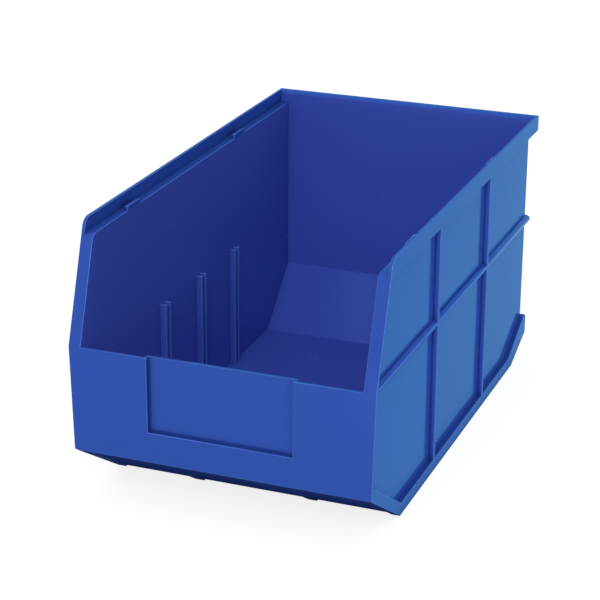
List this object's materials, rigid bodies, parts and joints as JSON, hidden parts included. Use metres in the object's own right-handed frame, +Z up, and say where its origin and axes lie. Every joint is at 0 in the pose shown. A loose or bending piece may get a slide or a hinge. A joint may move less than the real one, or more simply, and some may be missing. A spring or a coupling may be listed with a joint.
{
  "type": "stackable shelf bin",
  "caption": "Deep stackable plastic storage bin with an open hopper front, label recess, ribbed sides, stacking ledges and base rails.",
  "frame": {"origin": "centre of the footprint, on the plane the base rails stand on", "axes": "+Z up, -Y out of the open hopper front, +Y towards the rear rim, and +X on the right as seen from the front"},
  "size_m": [0.21, 0.37, 0.191],
  "materials": {
    "moulding": "injection-moulded blue polypropylene, semi-gloss with a fine mould texture"
  },
  "bodies": {
    "root": {"base_rail_left": "moulding", "base_rail_right": "moulding", "divider_guides_1_left": "moulding", "divider_guides_1_right": "moulding", "divider_guides_2_left": "moulding", "divider_guides_2_right": "moulding", "divider_guides_3_left": "moulding", "divider_guides_3_right": "moulding", "floor_panel": "moulding", "floor_runner_left": "moulding", "floor_runner_right": "moulding", "front_flange_left": "moulding", "front_flange_right": "moulding", "front_lug_left": "moulding", "front_lug_right": "moulding", "front_ramp": "moulding", "front_rib_lower_left": "moulding", "front_rib_lower_right": "moulding", "front_rib_upper_left": "moulding", "front_rib_upper_right": "moulding", "front_sill": "moulding", "front_wall_left": "moulding", "front_wall_right": "moulding", "heel_rail_left": "moulding", "heel_rail_right": "moulding", "hopper_flange_left": "moulding", "hopper_flange_right": "moulding", "label_cheek_left": "moulding", "label_cheek_right": "moulding", "label_panel": "moulding", "label_shelf": "moulding", "mid_rib_left": "moulding", "mid_rib_right": "moulding", "rear_lug_left": "moulding", "rear_lug_right": "moulding", "rear_ramp": "moulding", "rear_rib_lower_left": "moulding", "rear_rib_lower_right": "moulding", "rear_rib_upper_left": "moulding", "rear_rib_upper_right": "moulding", "rear_rim": "moulding", "rear_wall": "moulding", "side_wall_left": "moulding", "side_wall_right": "moulding", "stacking_ledge_left": "moulding", "stacking_ledge_right": "moulding", "stacking_lip_left": "moulding", "stacking_lip_right": "moulding", "toe_rail_left": "moulding", "toe_rail_right": "moulding", "wall_foot_left": "moulding", "wall_foot_right": "moulding"}
  },
  "joints": []
}
